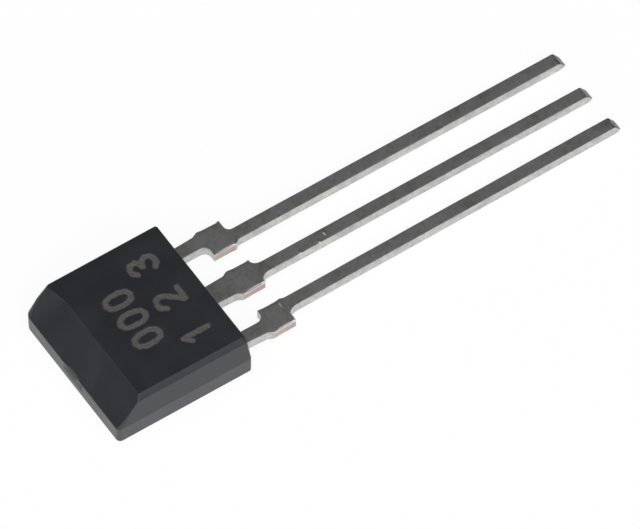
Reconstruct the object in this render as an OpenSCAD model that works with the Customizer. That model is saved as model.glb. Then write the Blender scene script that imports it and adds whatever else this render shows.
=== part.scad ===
// Three-lead Hall effect sensor in a flat moulded case.
// The case lies on its back face, so the sensing face looks up (+Z). The leads
// run along -Y, and pins 1 to 3 follow each other along +X. The origin is the
// centre of the case's back face. Lengths are in millimetres.

/* [Moulded case] */
// Width of the case across the pins, at the parting line
case_w = 4.48; // [4.2:0.02:5.4]
// Length of the case along the leads, at the parting line
case_l = 4.12; // [3.8:0.02:5]
// Thickness of the case from back face to sensing face
case_t = 1.38; // [1.3:0.02:1.8]
// Height of the parting line, which is also the top of the lead frame
parting_z = 0.54; // [0.42:0.02:0.6]
// Mould draft of the walls above the parting line, in degrees
upper_draft = 6; // [1:0.5:8]
// Mould draft of the walls below the parting line, in degrees
lower_draft = 0.5; // [0.5:0.5:8]
// Run of the slope at the end away from the leads, measured along the case
slope_run = 0.77; // [0.3:0.01:0.9]
// Size of the bevel that marks the pin 1 side of the sensing face
pin_1_bevel = 0.12; // [0.06:0.01:0.2]
// Radius left on the moulded edges that run across or along the case
edge_r = 0.06; // [0.02:0.01:0.08]
// Radius of the upright corners
corner_r = 0.14; // [0.05:0.01:0.25]
// Width of the scar where the mould's gate broke off
gate_w = 0.94; // [0.4:0.02:1.2]
// Height of the gate scar, down from the parting line
gate_h = 0.3; // [0.15:0.01:0.36]
// How far the gate scar stands out of the wall
gate_out = 0.03; // [0.01:0.01:0.08]
// Diameter of the ejector pin's mark in the back face
ejector_d = 1.2; // [0.6:0.1:1.6]
// Depth of the ejector pin's mark
ejector_depth = 0.04; // [0.02:0.01:0.08]
// Distance of the ejector pin's mark from the case's centre, away from the leads
ejector_y = 1; // [0.85:0.05:1.1]

/* [Lead frame] */
// Thickness of the lead frame sheet
sheet_t = 0.3; // [0.2:0.01:0.34]
// Distance between the centres of neighbouring leads
pitch = 1.27; // [1.2:0.01:1.4]
// Width of a lead
lead_w = 0.36; // [0.3:0.01:0.45]
// Length of a lead from the case to its tip
lead_l = 11.95; // [6:0.05:20]
// How much longer than the others pin 1 was sheared off
pin_1_extra = 0.05; // [0:0.01:0.1]
// Width of an outer lead's neck, between the case and the dam bar
outer_neck_w = 0.4; // [0.35:0.01:0.5]
// How far an outer lead's neck is set outward of its shank
neck_offset = 0.305; // [0.26:0.005:0.34]
// Width of the middle lead's neck
middle_neck_w = 0.63; // [0.5:0.01:0.7]
// Distance from the case to the near edge of the cut dam bar
bar_start = 0.92; // [0.7:0.01:1.4]
// Width of the cut dam bar along the leads
bar_w = 0.68; // [0.5:0.01:0.9]
// Width of the middle lead's dam bar stub
middle_stub_w = 0.85; // [0.76:0.01:0.9]
// Width of the slot that the dam bar punch cuts between two stubs
punch_w = 0.575; // [0.53:0.005:0.64]
// How far an outer stub reaches past its neck on the outward side
stub_out = 0.115; // [0.05:0.005:0.15]
// Radius that the punch rolled over onto the top edge of each cut
cut_roll = 0.09; // [0.03:0.01:0.14]
// Radius where the shank runs into its stub
root_r = 0.18; // [0.05:0.01:0.2]
// Radius where an outer neck runs into its stub on the inward side
throat_r = 0.2; // [0.1:0.01:0.22]
// Lean of pin 1's shank towards the middle lead, in degrees
pin_1_lean = 0.4; // [0:0.1:1]
// Length of the sheared bevel on top of a lead's tip
tip_bevel = 0.16; // [0.05:0.01:0.2]
// Radius rolled onto the lower edge of a lead's tip
tip_roll = 0.12; // [0.05:0.01:0.14]

/* [Inside the case] */
// Width of the die paddle across the pins
paddle_w = 1.8; // [1.5:0.05:1.9]
// Length of the die paddle along the leads
paddle_l = 2; // [1.8:0.05:2.1]
// Gap between the paddle and the outer leads' bond posts
post_gap = 0.2; // [0.15:0.01:0.25]
// Width of a bond post
post_w = 0.66; // [0.5:0.01:0.7]
// Length of a bond post
post_l = 1.1; // [0.9:0.05:1.3]
// Length of the necks inside the case, from its wall to the posts and the paddle
embed_l = 0.6; // [0.5:0.05:0.7]
// Width of the silicon die
die_w = 1.06; // [0.8:0.02:1.2]
// Length of the silicon die along the leads
die_l = 0.9; // [0.7:0.02:1]
// Thickness of the silicon die
die_t = 0.24; // [0.15:0.01:0.28]
// Distance from the die to the far edge of the paddle
die_inset = 0.3; // [0.2:0.01:0.4]
// Thickness of the cured silver epoxy under the die
attach_t = 0.02; // [0.01:0.005:0.03]
// Width of the epoxy fillet that shows around the die
attach_rim = 0.06; // [0.03:0.01:0.1]
// Diameter of a gold bond wire
wire_d = 0.025; // [0.02:0.001:0.03]
// Height of a wire's loop above the die
loop_h = 0.14; // [0.1:0.01:0.2]

/* [Hidden] */

case_end = -case_l / 2;                      // the wall that the leads come out of
upper_h = case_t - parting_z;
upper_in = upper_h * tan(upper_draft);       // how far a wall leans in over its height
lower_in = parting_z * tan(lower_draft);
sheet_z = parting_z - sheet_t;
arc_steps = 6;                               // straight pieces in a rounded corner
cut = 1;                                     // how far a cutting block reaches past its work

bar_end = bar_start + bar_w;
stub_in_x = middle_stub_w / 2 + punch_w;     // inward edge of an outer stub
neck_x = pitch + neck_offset;
neck_in_x = neck_x - outer_neck_w / 2;
neck_out_x = neck_x + outer_neck_w / 2;
outer_x = neck_out_x + stub_out;

paddle_end = case_end + embed_l + paddle_l;
die_y = paddle_end - die_inset - die_l / 2;
die_z = parting_z + attach_t;
die_top = die_z + die_t;
post_end = case_end + embed_l + post_l;
post_in_x = paddle_w / 2 + post_gap;

// ---- helpers ----------------------------------------------------------------

function unit(v) = v / norm(v);

// Points of the arc of radius r that rounds corner b between a and c
function rounded_corner(a, b, c, r) =
    let (u = unit(a - b), v = unit(c - b),
         half = acos(u * v) / 2,
         back = r / tan(half),
         centre = b + unit(u + v) * r / sin(half),
         start = b + u * back - centre,
         turn = (90 - half) * 2 * (cross(u, v) > 0 ? -1 : 1))
    [for (i = [0:arc_steps]) let (t = turn * i / arc_steps)
        centre + [start.x * cos(t) - start.y * sin(t), start.x * sin(t) + start.y * cos(t)]];

// Closed outline whose corners are given as [x, y, radius]; radius 0 stays sharp
function outline(corners) =
    let (n = len(corners), at = function (i) [corners[i % n].x, corners[i % n].y])
    [for (i = [0:n - 1])
        each corners[i].z > 0
            ? rounded_corner(at(i + n - 1), at(i), at(i + 1), corners[i].z)
            : [at(i)]];

// Extrudes an outline drawn in X and Z along the whole case
module along_case(length) {
    translate([0, length / 2, 0]) rotate([90, 0, 0]) linear_extrude(length) children();
}

// Extrudes an outline drawn in Y and Z across the whole case
module across_case(width) {
    translate([-width / 2, 0, 0]) rotate([90, 0, 90]) linear_extrude(width) children();
}

// ---- moulded case -----------------------------------------------------------

// The case seen from its lead end: drafted walls and the bevel on the pin 1 side
module end_profile() {
    half = case_w / 2;
    lean = pin_1_bevel * tan(upper_draft);
    polygon(outline([
        [-half + lower_in, 0, edge_r / 2],
        [half - lower_in, 0, edge_r / 2],
        [half, parting_z, 0],
        [half - upper_in, case_t, edge_r / 2],
        [-half + upper_in + pin_1_bevel, case_t, edge_r],
        [-half + upper_in - lean, case_t - pin_1_bevel, edge_r],
        [-half, parting_z, 0]]));
}

// The case seen from the pin 3 side: drafted lead end and the sloping far end
module side_profile() {
    half = case_l / 2;
    polygon(outline([
        [-half + lower_in, 0, edge_r / 2],
        [half - lower_in, 0, edge_r / 2],
        [half, parting_z, edge_r / 2],
        [half - slope_run, case_t, edge_r],
        [-half + upper_in, case_t, edge_r / 2],
        [-half, parting_z, 0]]));
}

// The case seen from above, with its rounded upright corners
module plan_profile() {
    x = case_w / 2;
    y = case_l / 2;
    polygon(outline([[-x, -y, corner_r / 2], [x, -y, corner_r / 2], [x, y, corner_r], [-x, y, corner_r]]));
}

// Stub of resin where the mould's gate broke off, at the level of the lead frame
module gate_scar() {
    root = 0.2;
    translate([-gate_w / 2, case_l / 2 - root, parting_z - gate_h])
        cube([gate_w, root + gate_out, gate_h]);
}

module case() {
    color("#2f3034")
    difference() {
        union() {
            intersection() {
                along_case(case_l + cut) end_profile();
                across_case(case_w + cut) side_profile();
                linear_extrude(case_t) plan_profile();
            }
            gate_scar();
        }
        translate([0, ejector_y, -cut]) cylinder(h = cut + ejector_depth, d = ejector_d, $fn = 48);
        outer_lead(-1);
        outer_lead(1);
        middle_lead();
        silicon();
        epoxy();
        for (pin = [1:3]) wire(pin);
    }
}

// ---- lead frame -------------------------------------------------------------

// Turns an outline given as [x, distance from the case's end, radius] into a sheet
module sheet(corners) {
    translate([0, case_end, sheet_z])
        linear_extrude(sheet_t)
            polygon(outline([for (c = corners) [c.x, -c.y, c.z]]));
}

// A shank of the given length from the middle of the dam bar to its sheared tip
module shank(length) {
    start = bar_start + bar_w / 2;
    difference() {
        sheet([[-lead_w / 2, start, 0], [lead_w / 2, start, 0],
               [lead_w / 2, length, 0], [-lead_w / 2, length, 0]]);
        translate([0, case_end - length, 0]) tip_cut();
    }
}

// What shearing takes off a lead's tip: a bevel above and a rolled edge below
module tip_cut() {
    bevel_drop = sheet_t - tip_roll;
    translate([-lead_w, 0, 0]) rotate([90, 0, 90]) linear_extrude(2 * lead_w) {
        polygon([[tip_bevel, parting_z], [0, parting_z - bevel_drop], [-cut, parting_z - bevel_drop],
                 [-cut, parting_z + cut], [tip_bevel, parting_z + cut]]);
        difference() {
            translate([-cut, sheet_z - cut]) square([cut + tip_roll, cut + tip_roll]);
            translate([tip_roll, sheet_z + tip_roll]) circle(r = tip_roll, $fn = 48);
        }
    }
}

// What the punch rolls off the top edge of the cut at x, whose metal lies towards -X
module rolled_edge(x) {
    translate([x - cut_roll, case_end - bar_start, parting_z - cut_roll])
        rotate([90, 0, 0]) linear_extrude(bar_w) difference() {
            square([cut_roll + cut, cut_roll + cut]);
            circle(r = cut_roll, $fn = 48);
        }
}

// Neck, cut dam bar stub and inner bond post of an outer lead, on the +X side
module outer_root() {
    step = 1.5 * stub_out;
    shank_out = pitch + lead_w / 2;
    shank_in = pitch - lead_w / 2;
    sheet([
        [post_in_x, -embed_l - post_l, 0],
        [post_in_x + post_w, -embed_l - post_l, 0],
        [post_in_x + post_w, -embed_l, 0],
        [neck_out_x, -embed_l, 0],
        [neck_out_x, bar_start - step, 0],
        [outer_x, bar_start, 0],
        [outer_x, bar_end, 0],
        [shank_out, bar_end, root_r],
        [shank_out, bar_end + 2 * root_r, 0],
        [shank_in, bar_end + 2 * root_r, 0],
        [shank_in, bar_end + root_r, 0],
        [stub_in_x, bar_end, 0],
        [stub_in_x, bar_start, 0],
        [neck_in_x, bar_start, throat_r],
        [neck_in_x, -embed_l, 0],
        [post_in_x, -embed_l, 0]]);
}

// An outer lead: side is -1 for pin 1 and 1 for pin 3
module outer_lead(side) {
    lean = side < 0 ? pin_1_lean : 0;
    extra = side < 0 ? pin_1_extra : 0;
    union() {
        scale_x(side) difference() {
            outer_root();
            rolled_edge(outer_x);
            mirror([1, 0, 0]) rolled_edge(-stub_in_x);
        }
        translate([side * pitch, case_end - bar_end, 0])
            rotate([0, 0, lean])
                translate([0, -case_end + bar_end, 0]) shank(lead_l + extra);
    }
}

module scale_x(side) {
    if (side < 0) mirror([1, 0, 0]) children();
    else children();
}

// The middle lead: paddle, neck, cut dam bar stub and shank in one piece
module middle_lead() {
    neck = middle_neck_w / 2;
    stub = middle_stub_w / 2;
    half = lead_w / 2;
    step = 2 * (stub - neck);
    right = [
        [paddle_w / 2, -embed_l - paddle_l, 0],
        [paddle_w / 2, -embed_l, 0],
        [neck, -embed_l, 0],
        [neck, bar_start - step, 0],
        [stub, bar_start, 0],
        [stub, bar_end, 0],
        [half, bar_end, root_r],
        [half, bar_end + 2 * root_r, 0]];
    union() {
        difference() {
            sheet(concat(right,
                [for (i = [len(right) - 1:-1:0]) [-right[i].x, right[i].y, right[i].z]]));
            rolled_edge(stub);
            mirror([1, 0, 0]) rolled_edge(stub);
        }
        shank(lead_l);
    }
}

module pin_1_lead() {
    color("#b9b7b2") outer_lead(-1);
}

module pin_2_lead() {
    color("#b9b7b2") middle_lead();
}

module pin_3_lead() {
    color("#b9b7b2") outer_lead(1);
}

// ---- sensor die -------------------------------------------------------------

module silicon() {
    translate([-die_w / 2, die_y - die_l / 2, die_z]) cube([die_w, die_l, die_t]);
}

module epoxy() {
    w = die_w + 2 * attach_rim;
    l = die_l + 2 * attach_rim;
    translate([-w / 2, die_y - l / 2, parting_z]) cube([w, l, attach_t]);
}

module hall_die() {
    color("#5a5f6b") silicon();
}

module die_attach() {
    color("#c9c9c4") epoxy();
}

// ---- bond wires -------------------------------------------------------------

wire_r = wire_d / 2;
wire_sides = 8;
flat = cos(180 / wire_sides);                // centre to flat, for a corner radius of 1
pad_inset = 0.1;                             // from the die's edges to its bond pads
ball_r = 1.4 * wire_d;
ball_h = 0.8 * wire_d;
stitch_l = 3 * wire_d;

// Bond pads on the die and landing points on the lead frame, for pins 1 to 3
pads = [for (side = [-1:1]) [side * (die_w / 2 - pad_inset), die_y - die_l / 2 + pad_inset]];
landings = [
    [-post_in_x - post_w / 2, post_end - post_l / 3],
    [0, case_end + embed_l + (paddle_l - die_inset - die_l) / 2],
    [post_in_x + post_w / 2, post_end - post_l / 3]];

// Point of a cubic Bezier curve
function bezier(a, b, c, d, t) =
    a * pow(1 - t, 3) + 3 * b * t * pow(1 - t, 2) + 3 * c * t * t * (1 - t) + d * pow(t, 3);

// Rings of a bond wire of the given span: [distance, height, slope, half height, half width]
function wire_rings(span) =
    let (foot = parting_z + wire_r * flat,
         top = die_top + ball_h,
         loop = [[0, top], [0, top + 1.45 * loop_h], [0.6 * span, die_top + 1.3 * loop_h],
                 [span - stitch_l, foot]],
         steps = 12)
    concat(
        [[0, die_top, 90, 0.8 * ball_r, 0.8 * ball_r],
         [0, die_top + ball_h / 3, 90, ball_r, ball_r],
         [0, die_top + 2 * ball_h / 3, 90, ball_r, ball_r],
         [0, top, 90, wire_r, wire_r]],
        [for (i = [1:steps])
            let (t = i / steps,
                 p = bezier(loop[0], loop[1], loop[2], loop[3], t),
                 q = bezier(loop[0], loop[1], loop[2], loop[3], t - 0.001),
                 slope = i == steps ? 0 : atan2(p.y - q.y, p.x - q.x))
            [p.x, p.y, slope, wire_r, wire_r]],
        [[span, parting_z + wire_r * flat / 2, 0, wire_r / 2, 1.5 * wire_r]]);

// One bond wire: an eight-sided tube swept from its ball on the die to its stitch
module wire(pin) {
    from = pads[pin - 1];
    to = landings[pin - 1];
    rings = wire_rings(norm(to - from));
    n = len(rings);
    points = [for (ring = rings, k = [0:wire_sides - 1])
        let (a = 360 * (k + 0.5) / wire_sides,
             out = ring[3] * cos(a),
             side = ring[4] * sin(a))
        [ring[0] - out * sin(ring[2]), side, ring[1] + out * cos(ring[2])]];
    walls = [for (i = [0:n - 2], k = [0:wire_sides - 1])
        let (m = (k + 1) % wire_sides)
        [i * wire_sides + k, i * wire_sides + m, (i + 1) * wire_sides + m, (i + 1) * wire_sides + k]];
    translate([from.x, from.y, 0])
        rotate([0, 0, atan2(to.y - from.y, to.x - from.x)])
            polyhedron(points, concat(
                walls,
                [[for (k = [wire_sides - 1:-1:0]) k]],
                [[for (k = [0:wire_sides - 1]) (n - 1) * wire_sides + k]]));
}

module bond_wire_1() {
    color("#d9b45a") wire(1);
}

module bond_wire_2() {
    color("#d9b45a") wire(2);
}

module bond_wire_3() {
    color("#d9b45a") wire(3);
}

case();
pin_1_lead();
pin_2_lead();
pin_3_lead();
hall_die();
die_attach();
bond_wire_1();
bond_wire_2();
bond_wire_3();
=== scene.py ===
# %% [markdown]
# # A flat three-lead Hall effect sensor
#
# The real part is a chip of silicon on a stamped copper lead frame. Black epoxy is moulded round
# it, the leads are tin plated, and at last the bar that tied the leads together (the dam bar) is
# punched out. Each of those steps leaves its own surface, and this lesson makes them one by one.
#
# The solids come from the CAD model and are the fixed frame of everything here. They give the
# sizes. Blender adds what light shows: rounded edges, the skin of each material, cut metal.

import bpy
import numpy as np
from mathutils import Matrix, Vector, noise


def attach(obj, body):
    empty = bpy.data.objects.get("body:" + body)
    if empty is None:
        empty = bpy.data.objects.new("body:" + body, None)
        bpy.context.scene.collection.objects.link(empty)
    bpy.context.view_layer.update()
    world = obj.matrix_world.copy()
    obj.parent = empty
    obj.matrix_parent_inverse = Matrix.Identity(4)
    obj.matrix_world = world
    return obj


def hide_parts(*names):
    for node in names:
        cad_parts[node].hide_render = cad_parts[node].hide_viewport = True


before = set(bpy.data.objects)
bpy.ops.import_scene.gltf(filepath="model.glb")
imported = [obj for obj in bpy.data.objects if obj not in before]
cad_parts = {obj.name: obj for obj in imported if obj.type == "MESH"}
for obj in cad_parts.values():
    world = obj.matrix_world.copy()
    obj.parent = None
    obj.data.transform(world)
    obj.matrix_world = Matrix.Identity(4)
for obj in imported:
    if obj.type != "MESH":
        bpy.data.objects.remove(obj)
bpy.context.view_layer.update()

MM = 0.001
print("solids:", sorted(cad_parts))

# %% [markdown]
# ## Where the camera stands
#
# A long lens from half a metre away flattens such a small part, so that its edges run nearly
# parallel. The camera looks down at 56 degrees over the end that has no leads. It is set by the
# direction from its target, a distance and a lens, with about one degree of roll.

# %% Camera
VIEW_AZIMUTH = -122.5078      # degrees; 0 looks along +Y
VIEW_ELEVATION = 55.5100
VIEW_ROLL = -0.9448
VIEW_DISTANCE = 502.0 * MM
VIEW_TARGET = Vector((-0.4390, -5.3258, 0)) * MM
VIEW_LENS, SENSOR_WIDTH = 1089.76, 36      # mm

azimuth, elevation, roll = np.radians([VIEW_AZIMUTH, VIEW_ELEVATION, VIEW_ROLL])
away = Vector((np.sin(azimuth) * np.cos(elevation), -np.cos(azimuth) * np.cos(elevation),
               np.sin(elevation)))
right = (-away).cross(Vector((0, 0, 1))).normalized()
up = right.cross(-away)
right, up = (right * np.cos(roll) + up * np.sin(roll), up * np.cos(roll) - right * np.sin(roll))

camera = bpy.data.objects.new("camera", bpy.data.cameras.new("camera"))
bpy.context.scene.collection.objects.link(camera)
camera.matrix_world = (Matrix.Translation(VIEW_TARGET + away * VIEW_DISTANCE)
                       @ Matrix((right, up, away)).transposed().to_4x4())
camera.data.sensor_fit = "HORIZONTAL"
camera.data.sensor_width = SENSOR_WIDTH
camera.data.lens = VIEW_LENS
bpy.context.scene.camera = camera
print("camera stands", round(VIEW_DISTANCE / MM), "mm away")

# %% [markdown]
# ## Two helpers for materials
#
# Colours are written as hex values, as a paint chart gives them, and one function turns them into
# the linear numbers that a renderer works with. Another adds a node, sets it and links it. Every
# pattern takes its place from the object's own coordinates, scaled so that one unit is 1 mm: a
# noise scale of 10 then has features about a tenth of a millimetre across.
#
# Some inputs go by number. A Mix node takes its factor at 0, and two colours at 6 and 7 or two
# plain values at 2 and 3. A Map Range node takes its value at 0, turns the range from 1 to 2 into
# the range from 3 to 4, and without these two gives 0 to 1.

# %% Colour and node helpers
def linear(hex_colour):
    """An sRGB hex colour such as '#c8c6c1' as linear red, green, blue and alpha."""
    srgb = [int(hex_colour[i:i + 2], 16) / 255 for i in (1, 3, 5)]
    return [v / 12.92 if v <= 0.04045 else ((v + 0.055) / 1.055) ** 2.4 for v in srgb] + [1.0]


def add(tree, kind, settings=None, inputs=None):
    """Adds one node. Inputs are plain values, or sockets of other nodes to link from."""
    node = tree.nodes.new(kind)
    for name, value in (settings or {}).items():
        setattr(node, name, value)
    for name, value in (inputs or {}).items():
        if isinstance(value, bpy.types.NodeSocket):
            tree.links.new(value, node.inputs[name])
        else:
            node.inputs[name].default_value = value
    return node


def new_material(name):
    """An empty material, with a mapping whose output is the place on the object in mm."""
    material = bpy.data.materials.new(name)
    material.use_nodes = True
    tree = material.node_tree
    tree.nodes.clear()
    place = add(tree, "ShaderNodeTexCoord").outputs["Object"]
    in_mm = add(tree, "ShaderNodeMapping", inputs={"Vector": place, "Scale": (1 / MM,) * 3})
    return material, tree, in_mm.outputs["Vector"]


print("grey check:", [round(v, 3) for v in linear("#808080")])

# %% [markdown]
# ## A helper for meshes
#
# The case and the leads are both lofts: closed rings of points, one above the other, joined by
# four-sided faces. A ring is the border of a small grid, so that the same grid closes the two
# ends, and the corners of a ring are pushed onto an arc. That keeps every edge round and every
# face in order, which bevelling a cut-up solid doesn't.

# %% Loft helpers
def add_mesh(name, points, faces):
    """A mesh object in the scene, from points in metres."""
    mesh = bpy.data.meshes.new(name)
    mesh.from_pydata(points, [], faces)
    piece = bpy.data.objects.new(name, mesh)
    bpy.context.scene.collection.objects.link(piece)
    return piece


def round_corner(across, along, low, high, radii):
    """Pushes grid points of the rectangle low..high into its rounded corners.
    radii are for the corners (low, low), (high, low), (high, high), (low, high)."""
    x, y = across.copy(), along.copy()
    corners = [(low[0], low[1]), (high[0], low[1]), (high[0], high[1]), (low[0], high[1])]
    for (corner_x, corner_y), radius in zip(corners, radii):
        way_x = 1 if corner_x == low[0] else -1
        way_y = 1 if corner_y == low[1] else -1
        centre_x, centre_y = corner_x + way_x * radius, corner_y + way_y * radius
        dx, dy = (centre_x - across) * way_x, (centre_y - along) * way_y
        inside = (dx > 0) & (dy > 0)
        largest, length = np.maximum(dx, dy), np.hypot(dx, dy) + 1e-12
        x = np.where(inside, centre_x - way_x * dx * largest / length, x)
        y = np.where(inside, centre_y - way_y * dy * largest / length, y)
    return x, y


def border(columns, rows):
    """Index pairs of a grid's border, once round."""
    last_column, last_row = columns - 1, rows - 1
    return ([(i, 0) for i in range(last_column)] + [(last_column, j) for j in range(last_row)]
            + [(i, last_row) for i in range(last_column, 0, -1)]
            + [(0, j) for j in range(last_row, 0, -1)])


def loft(name, first_grid, rings, last_grid):
    """A closed mesh object from two end grids (columns x rows x 3, in mm) and the rings between.
    Returns the object and, for each vertex, whether it is on the first grid, a ring or the last."""
    columns, rows = first_grid.shape[:2]
    edge = border(columns, rows)
    size = columns * rows
    points = [first_grid.reshape(-1, 3), *rings, last_grid.reshape(-1, 3)]
    part = np.repeat([0, 1, 2], [size, len(edge) * len(rings), size])
    start_last = size + len(edge) * len(rings)
    loops = [np.array([i * rows + j for i, j in edge])]
    loops += [size + len(edge) * k + np.arange(len(edge)) for k in range(len(rings))]
    loops += [start_last + loops[0]]
    faces = []
    for below, above in zip(loops[:-1], loops[1:]):
        faces.append(np.stack([below, np.roll(below, -1), np.roll(above, -1), above], 1))
    i, j = np.meshgrid(np.arange(columns - 1), np.arange(rows - 1), indexing="ij")
    cell = (i * rows + j).ravel()
    faces.append(np.stack([cell, cell + 1, cell + rows + 1, cell + rows], 1))
    faces.append(np.stack([cell, cell + rows, cell + rows + 1, cell + 1], 1) + start_last)
    piece = add_mesh(name, np.concatenate(points) * MM, np.concatenate(faces).tolist())
    piece.data.shade_smooth()
    return piece, part


print("a 3 x 3 grid has a border of", len(border(3, 3)), "points")

# %% [markdown]
# Wear and tool marks come after the loft. They are computed for all the points of a mesh at once,
# from smooth steps and noise, and move the points a little. The same numbers are painted on the
# points, so that a material knows where the surface is burnt, cut or torn. The noise is seeded by
# a shift, so it is the same in each run.

# %% Helpers for marks on a mesh
def points_in_mm(piece):
    """The vertices of a mesh as an array of n x 3."""
    points = np.zeros(len(piece.data.vertices) * 3)
    piece.data.vertices.foreach_get("co", points)
    return points.reshape(-1, 3) / MM


def move_points(piece, points):
    """Puts the vertices where the array says, in mm."""
    piece.data.vertices.foreach_set("co", (points * MM).ravel())


def smooth(value, low, high):
    """0 below low, 1 above high, with a soft start and end."""
    t = np.clip((value - low) / (high - low), 0, 1)
    return t * t * (3 - 2 * t)


def paint(piece, name, values):
    """Stores one number per vertex under a name that the material reads."""
    layer = piece.data.attributes.new(name, "FLOAT", "POINT")
    layer.data.foreach_set("value", np.asarray(values, np.float32))


def rough(points, scale, seed):
    """Noise from about -1 to 1 at each point, with features about 1/scale mm across."""
    shift = Vector((seed * 17.3, seed * 5.9, seed * 11.1))
    return np.array([noise.noise(Vector(p) * scale + shift) for p in points])


print("a smooth step from 0 to 1:", [round(float(smooth(t, 0, 1)), 2) for t in (0, 0.25, 0.5, 1)])

# %% [markdown]
# ## The case: a transfer moulding
#
# Powdered epoxy is melted and pressed into a steel mould of two halves. They part at the level of
# the lead frame. The walls lean in above and below that line, or the part would stick: by six
# degrees in the deep upper half, and by half a degree in the shallow lower one. The case is lofted
# upwards through both: each level is a rectangle with round corners, and four side profiles say
# how far its edges have moved in at that height.

# %% Sizes of the case, in mm
CASE_W, CASE_L, CASE_T = 4.48, 4.12, 1.38
PARTING_Z = 0.54
UPPER_DRAFT, LOWER_DRAFT = np.tan(np.radians(6)), np.tan(np.radians(0.5))
UPPER_IN = (CASE_T - PARTING_Z) * UPPER_DRAFT
LOWER_IN = PARTING_Z * LOWER_DRAFT
SLOPE_RUN = 0.77
PIN_1_BEVEL = 0.12
NEAR_CORNER_R = 0.07           # at the lead end
FAR_CORNER_R = (0.13, 0.26)    # at the far end, on the pin 1 side and on the pin 3 side
FAR_CORNER_KEEPS = (0.1, 0.4)  # share of these radii that is left halfway up the slope
BULGE = 0.13                   # how far the slope's pin 3 end stands out at the top
MATCH_STEP = 0.003             # the lower mould half stands this much inside the upper one
BACK_R = 0.03                  # rounding of the back face's edges
LEVEL_STEP, FINE_LEVEL_STEP = 0.06, 0.02
FINE_BAND = 0.09               # the levels are fine this far to both sides of the parting line


def side_profile(corners):
    """Inset against height. Corners are (inset, height, radius) from back face to sensing face."""
    path = [(corners[0][0] + 1, 0, 0)] + corners + [(corners[-1][0] + 1, CASE_T, 0)]
    line = []
    for before, here, after in zip(path[:-2], path[1:-1], path[2:]):
        corner = np.array(here[:2])
        back, ahead = np.array(before[:2]) - corner, np.array(after[:2]) - corner
        back, ahead = back / np.linalg.norm(back), ahead / np.linalg.norm(ahead)
        half = np.arccos(np.clip(back @ ahead, -1, 1)) / 2
        reach = here[2] / np.tan(half)
        for t in np.linspace(0, 1, 6):
            # A quadratic blend between the two walls is as good as an arc at this size
            line.append(corner + reach * (back * (1 - t) ** 2 + ahead * t ** 2))
    line = np.array(line)
    return line[:, 0], np.maximum.accumulate(line[:, 1])


BEVEL_IN = (CASE_T - PIN_1_BEVEL - PARTING_Z) * UPPER_DRAFT
PLAIN_WALL = [(LOWER_IN, 0, BACK_R), (0, PARTING_Z, 0.01), (UPPER_IN, CASE_T, 0.06)]
FAR_WALL = [(LOWER_IN, 0, BACK_R), (0, PARTING_Z, 0.03), (SLOPE_RUN, CASE_T, 0.05)]
BEVELLED_WALL = [(LOWER_IN, 0, BACK_R), (0, PARTING_Z, 0.01),
                 (BEVEL_IN, CASE_T - PIN_1_BEVEL, 0.04),
                 (UPPER_IN + PIN_1_BEVEL, CASE_T, 0.04)]
profiles = [side_profile(wall) for wall in (BEVELLED_WALL, PLAIN_WALL, PLAIN_WALL, FAR_WALL)]


def level(z):
    """Lowest and highest corner of the case's rectangle at height z."""
    west, east, south, north = [np.interp(z, heights, insets) for insets, heights in profiles]
    if z < PARTING_Z:
        west, east, south, north = [v + MATCH_STEP for v in (west, east, south, north)]
    return (np.array([-CASE_W / 2 + west, -CASE_L / 2 + south]),
            np.array([CASE_W / 2 - east, CASE_L / 2 - north]))


band = np.arange(PARTING_Z - FINE_BAND, PARTING_Z + FINE_BAND, FINE_LEVEL_STEP)
below_step = [PARTING_Z - 0.004]
heights = np.unique(np.round(np.concatenate(
    [p[1] for p in profiles] + [np.arange(LEVEL_STEP, CASE_T, LEVEL_STEP), below_step, band]), 4))
print(len(heights), "levels between", heights[0], "and", heights[-1], "mm")

# %% [markdown]
# The marks are plain: a pin number over each lead, and three zeros as a blank date code. A laser
# burns them into the resin. It leaves a shallow trench, about a hundredth of a millimetre deep,
# with a pale, crusty floor. Each digit is a few strokes, and the distance to the nearest stroke
# says how deep a point lies.

# %% Laser marks as strokes
MARK_HEIGHT = 0.74
MARK_STROKE = 0.16
MARK_DEPTH = 0.014
PITCH = 1.27                  # from pin to pin
ZERO_PITCH = 0.7
NUMBERS_Y, ZEROS_Y = -0.98, 0.14

# Each digit in a box 0.6 wide and 1 high, as lines through points
DIGITS = {
    0: [[(0.3, 1.0), (0.12, 0.92), (0.03, 0.7), (0.03, 0.3), (0.12, 0.08), (0.3, 0.0),
         (0.48, 0.08), (0.57, 0.3), (0.57, 0.7), (0.48, 0.92), (0.3, 1.0)]],
    1: [[(0.12, 0.78), (0.34, 1.0), (0.34, 0.0)]],
    2: [[(0.02, 0.78), (0.12, 0.95), (0.3, 1.0), (0.48, 0.94), (0.56, 0.76), (0.5, 0.56),
         (0.04, 0.0), (0.6, 0.0)]],
    3: [[(0.04, 0.86), (0.18, 0.98), (0.36, 1.0), (0.52, 0.9), (0.54, 0.7), (0.42, 0.56),
         (0.24, 0.53)],
        [(0.24, 0.53), (0.46, 0.48), (0.57, 0.3), (0.52, 0.1), (0.34, 0.0), (0.16, 0.02),
         (0.02, 0.14)]]}

# Digit and centre, in mm: the pin numbers, and zeros where a date code would stand
MARKS = [(1, -PITCH, NUMBERS_Y), (2, 0, NUMBERS_Y), (3, PITCH, NUMBERS_Y),
         (0, -ZERO_PITCH, ZEROS_Y), (0, 0, ZEROS_Y), (0, ZERO_PITCH, ZEROS_Y)]


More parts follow.
